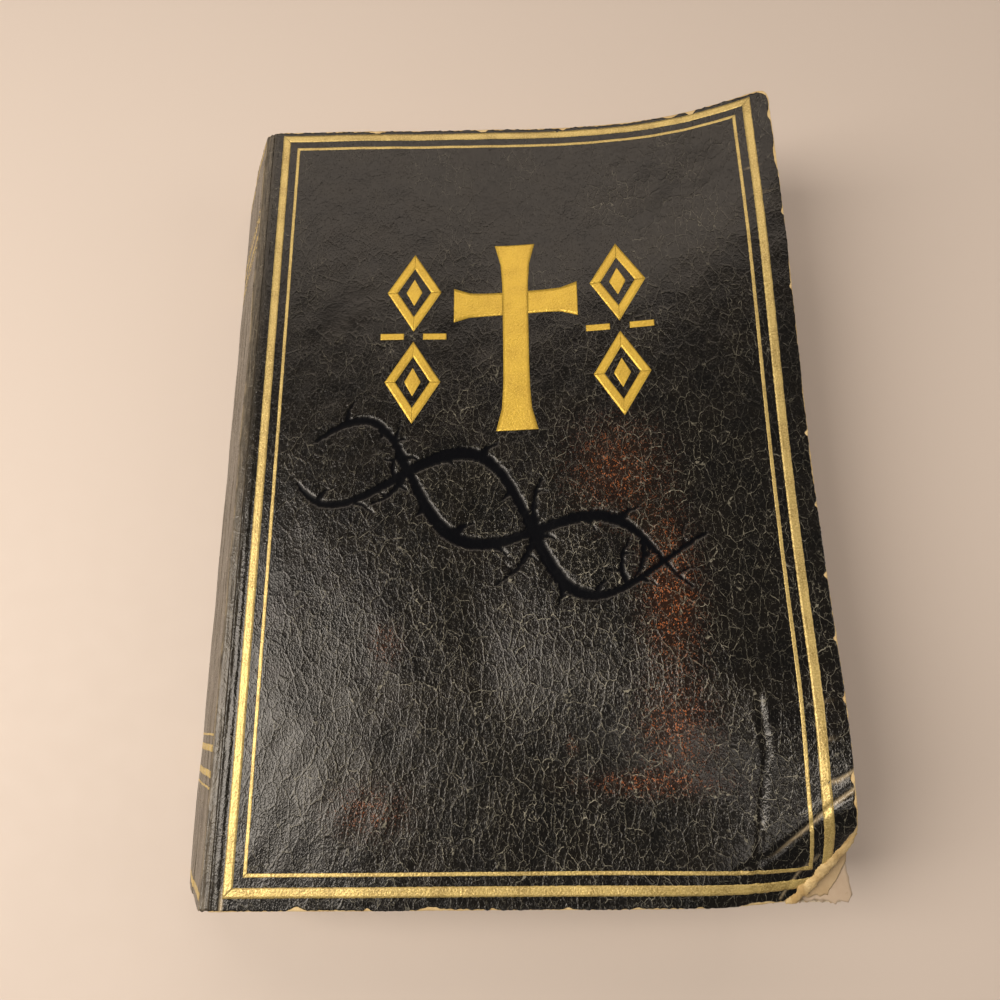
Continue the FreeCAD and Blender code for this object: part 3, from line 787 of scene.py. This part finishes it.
def rule_frame(name, inset, wide, seed, fray, node):
    """A rectangular gold rule as four mitred strips, cut off at the torn corner."""
    left, right = RULE_LEFT + inset, WIDE - RULE_RIGHT - inset
    tail, head = RULE_TAIL + inset, LONG - RULE_HEAD - inset
    s = np.linspace(0, 1, 5)[None, :] * wide
    clear = 0.35            # the foil stops this far from the tear
    patches = []

    def frayed(grid_s, along, number):
        near = fray * ragged(seed + number, along, 0.9)[:, None] * (grid_s < 1e-6)
        far = fray * ragged(seed + number + 9, along, 0.8)[:, None] * (grid_s > wide - 1e-6)
        return near + far

    def side(start, end, across, long, count, number):
        """Places along a side, and how far across it they are."""
        t = np.linspace(0, 1, count)[:, None]
        return (start + (end - start) * t,
                across + frayed(s, t[:, 0] * long, number) + 0 * t)

    v, u = side(tail + s, head - s, left + s, LONG, 480, 0)
    patches.append((u[:, ::-1], v[:, ::-1]))
    above_tear = np.maximum(tail + s, torn_v(right - s) + clear)
    v, u = side(above_tear, head - s, right - s, LONG, 480, 2)
    patches.append((u, v))
    u, v = side(left + s, right - s, head - s, WIDE, 340, 4)
    patches.append((u[:, ::-1], v[:, ::-1]))
    before_tear = np.minimum(right - s, torn_u(tail + s) - clear)
    patches.append(side(left + s, before_tear, tail + s, WIDE, 340, 6))
    piece = joined_foil(name, patches, node)
    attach(piece, "front_cover")


def bar(start, end, half_widths, count=60):
    """Flat places of a tapering bar between two points."""
    start, end = np.array(start, float), np.array(end, float)
    t = np.linspace(0, 1, count)
    way = (end - start) / np.linalg.norm(end - start)
    side = np.array([-way[1], way[0]])
    half = np.interp(t, np.linspace(0, 1, len(half_widths)), half_widths)
    s = np.linspace(-1, 1, 9)
    u = start[0] + (end - start)[0] * t[:, None] + side[0] * half[:, None] * s
    v = start[1] + (end - start)[1] * t[:, None] + side[1] * half[:, None] * s
    return u, v


def outlined_lozenge(u0, v0, wide, long):
    """A lozenge with an open middle: four mitred sides, and a small solid one inside."""
    corners = [(u0 - wide / 2, v0), (u0, v0 - long / 2), (u0 + wide / 2, v0), (u0, v0 + long / 2)]
    inner = [(u0 + (a - u0) * 0.62, v0 + (b - v0) * 0.62) for a, b in corners]
    patches = []
    for k in range(4):
        t = np.linspace(0, 1, 26)[:, None]
        s = np.linspace(0, 1, 5)[None, :]
        a0, a1 = np.array(corners[k]), np.array(corners[(k + 1) % 4])
        b0, b1 = np.array(inner[k]), np.array(inner[(k + 1) % 4])
        u = (a0[0] + (a1 - a0)[0] * t) * (1 - s) + (b0[0] + (b1 - b0)[0] * t) * s
        v = (a0[1] + (a1 - a0)[1] * t) * (1 - s) + (b0[1] + (b1 - b0)[1] * t) * s
        patches.append((u, v))
    patches.append(bar((u0, v0 - long * 0.17), (u0, v0 + long * 0.17),
                       (0.03, wide * 0.15, 0.03), 24))
    return patches


def emblem():
    """A generic cross with flared ends, and lozenges and plain bars on both sides."""
    low, high = box_mm("front_cross_emblem")
    middle_u = (low[0] + high[0]) / 2 - FOLD
    tail, head = low[1] - TAIL_Y, high[1] - TAIL_Y
    arm = tail + (head - tail) * 2 / 3
    reach = (high[0] - low[0]) / 2
    flare = (5.6, 4.0, 3.6, 3.5, 3.5, 3.5, 3.5, 3.6, 4.0, 5.6)
    half = 3.5
    patches = [bar((middle_u, tail), (middle_u, head), flare, 130)]
    short = (3.5, 3.5, 3.7, 5.2)
    for way in (-1, 1):
        patches.append(bar((middle_u + way * (half + 0.02), arm), (middle_u + way * reach, arm),
                           short, 40))
    cross = joined_foil("gold_cross", patches, "front_cross_emblem", foil=RICH_GOLD)
    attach(cross, "front_cover")

    low, high = box_mm("front_lozenges")
    centre_v = (low[1] + high[1]) / 2 - TAIL_Y
    beside, apart = 28.0, 13.5      # from the cross's axis, and from the middle of a pair
    gap, tip, thin = 2.6, 9.0, (0.9, 0.9)
    patches = []
    for way in (-1, 1):
        u0 = middle_u + way * beside
        for row in (-1, 1):
            patches += outlined_lozenge(u0, centre_v + row * apart, wide=15, long=24)
        patches.append(bar((u0 - tip, centre_v), (u0 - gap, centre_v), thin, 20))
        patches.append(bar((u0 + gap, centre_v), (u0 + tip, centre_v), thin, 20))
    side = joined_foil("gold_lozenges", patches, "front_lozenges", foil=RICH_GOLD)
    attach(side, "front_cover")


# ------------------------------------------------------------------ spine and back cover
def wrap_profile():
    """The cover's outer line from the back cover's fore-edge round the spine to the front
    hinge strip: flat distance, place and outward normal."""
    corners = [(FORE_X, 0), (BACK_FOLD, 0), (FOLD, TOP), (FOLD + 8, TOP)]
    points, flat = [], []
    start = -(WIDE + SPINE_LONG)
    for (x0, z0), (x1, z1) in zip(corners[:-1], corners[1:]):
        reach = math.hypot(x1 - x0, z1 - z0)
        t = np.arange(0, reach, 0.2) / reach
        points.append(np.stack([x0 + (x1 - x0) * t, z0 + (z1 - z0) * t], -1))
        flat.append(start + reach * t)
        start += reach
    points, flat = np.concatenate(points), np.concatenate(flat)
    kernel = np.ones(9) / 9
    rounded = points.copy()
    for k in (0, 1):
        rounded[4:-4, k] = np.convolve(points[:, k], kernel, "valid")
    ahead = np.gradient(rounded, axis=0)
    ahead /= np.linalg.norm(ahead, axis=1, keepdims=True)
    return flat, rounded, np.stack([-ahead[:, 1], ahead[:, 0]], -1)


PROFILE = wrap_profile()


def wrap_at(u, v, height):
    """Points at a height outside the wrap over flat places with u at or below the join."""
    flat, points, normals = PROFILE
    x = np.interp(u, flat, points[:, 0]) + np.interp(u, flat, normals[:, 0]) * height
    z = np.interp(u, flat, points[:, 1]) + np.interp(u, flat, normals[:, 1]) * height
    return np.stack([x, TAIL_Y + v, z], -1)


def spine_relief(u, v):
    """Reading creases and worn wrinkles along the spine."""
    total = 0.06 * waves(81, u * 2.2, v * 0.2, 5) + 0.10 * waves(82, u, v, 30)
    for number, level in enumerate(CREASES):
        line = -(TOP - level) / TOP * SPINE_LONG
        total -= 0.26 * bell(u - line - 0.25 * ragged(83 + number, v, 40), 0.45)
        total += 0.16 * bell(u - line, 1.6)
    total -= 0.24 * bell(u + 1.3 + 0.2 * ragged(87, v, 60), 0.30)
    total -= 0.12 * bell(u + 4.1 + 0.3 * ragged(88, v, 45), 0.3)
    keep = smooth((JOIN + 0.01 - u) / 1.2) * smooth((u + SPINE_LONG + 1.5) / 3)
    return total * keep + relief(np.clip(u, 0, None), v) * (u > 0)


def spine_level(u, v):
    return spine_relief(u, v) - 0.02


def back_relief(u, v):
    away = smooth((-SPINE_LONG - 3 - u) / 8)
    return -0.02 * np.abs(waves(91, u, v, 40)) * away


def spine_piece(name, u0, u1, crease_level, numbers):
    def nodes(kind):
        return [f"spine_{kind}_{n}" for n in numbers]

    u_mm = lines((u0, 0.3), (u1, 1))
    v_t = lines((0, 0.6), (LONG, 1)) / LONG
    tail = 0.25 + 0.12 * ragged(92, u_mm, 1.6) + 0.5 * bell(u_mm + 18, 7)
    head = 0.35 + 0.16 * ragged(93, u_mm, 1.4)
    head = head + 1.4 * bell(u_mm + 1.5, 3.4) + 0.9 * bell(u_mm + 9, 4)
    u, v = spread(u_mm, tail, LONG - head, v_t)
    level = spine_level(u, v)
    age = np.clip(0.66 - 0.26 * smooth((u - 0.3) / 2) - 0.5 * smooth(-(u + SPINE_LONG) / 2), 0, 1)
    crack = 0.35 * bell(u + 0.25, 0.30) * smooth(0.6 + waves(94, u, v, 9))
    skin = sheet(name + "_leather", SKIN_FINISH, nodes("skin"), wrap_at, u, v, level,
                 level - SKIN, age=age, crack=crack, wear=np.full_like(u, 0.5))
    v = v + 0.15 - 0.3 * v_t[None, :]
    outer = level - SKIN - 0.01
    inner = np.maximum(outer - CARD + 0.06, -(SKIN + CARD) + 0.04)
    for height in CREASES:
        inner = inner + 0.34 * bell(u + (TOP - height) / TOP * SPINE_LONG, 1.5)
    inner = np.minimum(inner, outer - 0.05)
    card = sheet(name + "_card", CARD_FINISH, nodes("card"), wrap_at, u, v, outer, inner)
    patches = []
    for centre_line, wide in bands():
        low = max(u0 + 0.02, -SPINE_LONG + 0.7)
        high = min(u1 - 0.02, -0.7)
        a = np.linspace(low, high, max(8, int((high - low) / 0.3)))
        s = np.linspace(-wide / 2, wide / 2, 7)
        grid_u, grid_v = np.meshgrid(a, centre_line + s, indexing="ij")
        grid_v = grid_v + 0.07 * ragged(95, grid_u, 1.2)
        patches.append((grid_u, grid_v))
    foil = joined_foil(name + "_bands", patches, *nodes("rules"), place=wrap_at,
                       bend=spine_level, raised=0.01)
    low, high = crease_level - 0.9, crease_level + 0.9
    for piece in (skin, card, foil):
        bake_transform(piece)


def bands():
    """Centre and width of each gold band across the spine."""
    lower = [(3.0, 1.6), (26.1, 0.5), (29.2, 1.6), (35.1, 1.6), (38.2, 0.5)]
    return lower + [(LONG - place, wide) for place, wide in lower]


def spine():
    middle = [-(TOP - (a + b) / 2) / TOP * SPINE_LONG for a, b in zip(CREASES, CREASES[1:])]
    stops = [-SPINE_LONG - JOIN, middle[0], middle[1], JOIN]
    pieces = (("spine_lower", (1,)), ("spine_middle", (2,)), ("spine_upper", (3, 4)))
    for k, (name, numbers) in enumerate(pieces):
        spine_piece(name, stops[k], stops[k + 1], CREASES[k], numbers)


def back_cover():
    """The flat back cover, from its fore-edge to half way over its hinge strip."""
    far = WIDE - JOIN

    def panel(name, inset, top, bottom, finish, seed, fray, node):
        d = lines((0, 0.35), (6, 1.4), (far - 8, 0.5), (far, 1))
        drop = corner_drop(d, CORNER)
        tail = inset + fray * (1 + ragged(seed, d, 2.4)) + drop
        head = inset + fray * (1 + ragged(seed + 1, d, 2.1)) + drop
        t = lines((0, 0.4), (6, 1.4), (LONG - 6, 0.4), (LONG, 1)) / LONG
        d, v = spread(d, tail, LONG - head, t)
        fore = inset + fray * (1 + ragged(seed + 2, v, 2.6))
        d = d + fore * smooth((5 - d) / 5)
        u = -(SPINE_LONG + WIDE) + d
        level = back_relief(u, v)
        piece = sheet(name, finish, [node], wrap_at, u, v, level + top, level + bottom,
                      age=0.25 * bell(d, 2.0), wear=0.55 + 0.2 * waves(99, u, v, 40))
        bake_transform(piece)

    panel("back_leather", 0.3, 0.0, -SKIN, SKIN_FINISH, 101, 0.12, "back_cover_skin")
    panel("back_card", 0.0, -SKIN - 0.005, -SKIN - CARD, CARD_FINISH, 104, 0.04,
          "back_cover_card")


# ------------------------------------------------------------------ pages
LEAF = 0.12
LEAF_STEP = 0.27


def front_leaves():
    """The loose leaves that bend under the warped cover; their tail corners are dog-eared."""
    share = 0.7             # each leaf bends by this much of what lies on it
    trim = 0.8              # the leaves stand back from the cover's edges
    first = HINGE + 1.1
    for number in range(4):
        node = "front_flyleaf" if number == 0 else f"front_leaf_{number + 1}"
        body = node + "_body"
        depth = -(SKIN + CARD) - 0.3 - number * LEAF_STEP
        warp = Warp(share ** (number + 1), TOP, SLOPE * depth)
        u_mm = lines((first, 1.3), (WIDE - 26, 0.5), (WIDE - trim, 1))
        v_mm = lines((trim, 0.45), (26, 1.5), (LONG - 6, 0.7), (LONG - trim, 1))
        cut = ((5.2, 7.5), (0.9, 1.2), (2.2, 1.4), (0.8, 1.0))[number]
        base = trim + 0.10 * (1 + ragged(110 + number, u_mm, 7))
        t = np.clip((u_mm - (WIDE - trim - cut[0])) / cut[0], 0, 1)
        base = base + cut[1] * t * (0.6 + 0.4 * t)
        fray = 0.30 * (ragged(114 + number, u_mm, 1.3) + 0.5)
        base = base + fray * smooth((u_mm - WIDE + 22) / 8)
        high = LONG - trim - 0.10 * (1 + ragged(118 + number, u_mm, 9))
        share_v = (v_mm - v_mm[0]) / (v_mm[-1] - v_mm[0])
        u, v = spread(u_mm, base, high, share_v)
        back = 0.08 * (1 + waves(122 + number, u, v, 8)) + 0.10 * bell(v, 18) * (
            1 + ragged(126 + number, v, 2.4))
        u = u - back * smooth((u - WIDE + 6) / 5)
        near = (WIDE - trim - u) / 11.0 + (v - trim) / 15.0
        curl = smooth(1 - near)
        u = u + (0.9, 1.5, 0.8, 0.3)[number] * curl
        v = v - (0.2, 0.7, 0.4, 0.1)[number] * curl
        curl_height = (0.9, 1.5, 0.35, 0.1)[number] * curl
        limp = 0.05 * waves(130 + number, u, v, 30) * smooth((u - 20) / 30)
        level = depth + limp + curl_height
        paper = AGED_PAGE if number in (0, 2) else PAGE
        leaf = sheet(node + "_page", (paper, "paper"), [node], warp.at, u, v, level, level - LEAF)
        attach(leaf, body)


def leaf_outline(x0, x1, y0, y1, seed):
    """A closed outline of a trimmed leaf with slightly uneven edges."""
    a = np.linspace(0, 1, 30)[:-1]
    b = np.linspace(0, 1, 42)[:-1]
    rng = np.random.default_rng(seed)
    push = rng.normal(0, 0.07, 3)
    tail_y = y0 + 0.10 * (1 + ragged(seed, a * 140, 40)) + push[0]
    fore_x = x1 - 0.10 * (1 + ragged(seed + 1, b * 200, 45)) + push[1]
    head_y = y1 - 0.10 * (1 + ragged(seed + 2, a * 140, 40)) + push[2]
    tail = np.stack([x0 + (x1 - x0) * a, tail_y], -1)
    fore = np.stack([fore_x, y0 + (y1 - y0) * b], -1)
    head = np.stack([x1 + (x0 - x1) * a, head_y], -1)
    spine_side = np.stack([x0 + 0 * b, y1 + (y0 - y1) * b], -1)
    fore[0], head[0], spine_side[0] = (x1, y0 + 0.1), (x1, y1 - 0.1), (x0, y1)
    return np.concatenate([tail, fore, head, spine_side])


def signatures(bodies):
    """Each sewn section as a stack of separate uneven leaves."""
    leaves = 10
    filled = 0.93           # share of a leaf's pitch that is paper
    for number in range(1, 17):
        node = f"signature_{number:02d}"
        low, high = box_mm(node)
        thick = high[2] - low[2]
        tilt = SLOPE * thick
        points, faces = [], []
        for k in range(leaves):
            z0 = low[2] + thick * k / leaves
            z1 = low[2] + thick * (k + filled) / leaves
            shift = tilt * (k + 0.5) / leaves
            outline = leaf_outline(low[0] + shift, high[0] - tilt + shift, low[1], high[1],
                                   1000 + number * 20 + k)
            outline[:, 0] = np.clip(outline[:, 0], low[0], high[0])
            count = len(outline)
            base = len(points)
            points += [(x, y, z0) for x, y in outline] + [(x, y, z1) for x, y in outline]
            faces.append(list(range(base + count, base + 2 * count)))
            faces.append(list(range(base + count - 1, base - 1, -1)))
            for i in range(count):
                j = (i + 1) % count
                faces.append([base + i, base + j, base + count + j, base + count + i])
        piece = new_object(node + "_leaves", np.array(points), faces,
                           np.zeros(len(faces), bool), {})
        finish_piece(piece, PAGE_EDGES, "paper", node)
        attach(piece, bodies[node])


# ------------------------------------------------------------------ build
node_body = {node: body for body, members in frame["record"]["behaviour"]["bodies"].items()
             for node in members}
front_cover()
torn_roll()
rule_frame("gold_outer_rule", 0.0, 2.2, 140, 0.045, "front_outer_rule")
rule_frame("gold_inner_rule", 4.3, 0.85, 160, 0.04, "front_inner_rule")
emblem()
spine()
back_cover()
front_leaves()
signatures(node_body)
for node, piece in frame["nodes"].items():
    if piece.hide_render:
        continue
    piece.data.materials.clear()
    if node.startswith("spine_adhesive"):
        piece.data.materials.append(GLUE)
    else:
        piece.data.materials.append(PLAIN_PAPER)


# ------------------------------------------------------------------ floor, light and camera
def floor():
    n = Nodes("pale_tabletop")
    place = n.add("ShaderNodeTexCoord").outputs["Object"]
    broad = n.noise(place, 1.5, 3.0)
    fine = n.noise(place, 160, 3.0)
    colour = n.mix(broad, (0.635, 0.56, 0.505), (0.60, 0.525, 0.47))
    n.bump(fine, 0.05, 0.3)
    n.surface(colour, n.ramp(fine, 0.3, 0.7, 0.55, 0.65), Specular_IOR_Level=0.3)
    t = np.linspace(-1.6, 1.6, 9) / MM
    u, v = np.meshgrid(t, t, indexing="ij")
    base = np.stack([u, v, np.zeros_like(u) - 0.05], -1)
    plane = closed_sheet("tabletop", base, base - [0, 0, 12])
    plane.data.materials.append(n.material)


def area_light(name, place, target, size, power, colour):
    light = bpy.data.lights.new(name, "AREA")
    light.shape = "RECTANGLE"
    light.size, light.size_y = size
    light.energy = power
    light.color = colour
    lamp = show(name, light)
    way = Vector(target) - Vector(place)
    turned = way.to_track_quat("-Z", "Y").to_matrix().to_4x4()
    lamp.matrix_world = Matrix.Translation(Vector(place)) @ turned


def studio():
    warm = (1, 0.90, 0.79)
    area_light("key_left", (-0.42, -0.06, 0.52), (0.0, -0.02, 0.02), (0.30, 0.46), 4.4, warm)
    area_light("left_glow", (-0.19, -0.09, 0.50), (-0.04, -0.07, 0.02), (0.11, 0.20), 0.17,
               (1, 0.86, 0.67))
    area_light("back_wall", (0.0, 0.82, 0.90), (0, 0, 0.02), (1.6, 0.5), 4.9, (1, 0.84, 0.70))
    area_light("fill_right", (0.58, 0.0, 0.30), (0.14, 0.0, 0.0), (0.3, 0.5), 0.9, warm)
    area_light("front_glow", (-0.09, -0.46, 0.70), (0.06, -0.08, 0.03), (0.28, 0.16), 0.50, warm)
    world = bpy.data.worlds.new("soft_room")
    world.use_nodes = True
    background = world.node_tree.nodes["Background"]
    background.inputs["Color"].default_value = (1.0, 0.92, 0.86, 1)
    background.inputs["Strength"].default_value = 0.12
    bpy.context.scene.world = world
    bpy.context.scene.view_settings.view_transform = "Standard"


def camera():
    """Tilt, turn and roll of a camera that looks down at the book from its tail."""
    tilt, turn, roll = (math.radians(a) for a in (-16.013, -1.924, -2.51))
    flip = Matrix.Diagonal((1, -1, -1))
    seen_axes = (flip @ Matrix.Rotation(roll, 3, "Z") @ Matrix.Rotation(tilt, 3, "X") @ flip
                 @ Matrix.Rotation(turn, 3, "Z"))
    place = Vector((FOLD + 70.3, TAIL_Y + 40.1, TOP + 192.4)) * MM
    lens = bpy.data.cameras.new("viewpoint")
    lens.sensor_width = 36
    lens.lens = 28.08
    lens.clip_start = 0.01
    seen = show("viewpoint", lens)
    seen.matrix_world = Matrix.Translation(place) @ seen_axes.transposed().to_4x4()
    bpy.context.scene.camera = seen


floor()
studio()
camera()

bpy.context.view_layer.update()
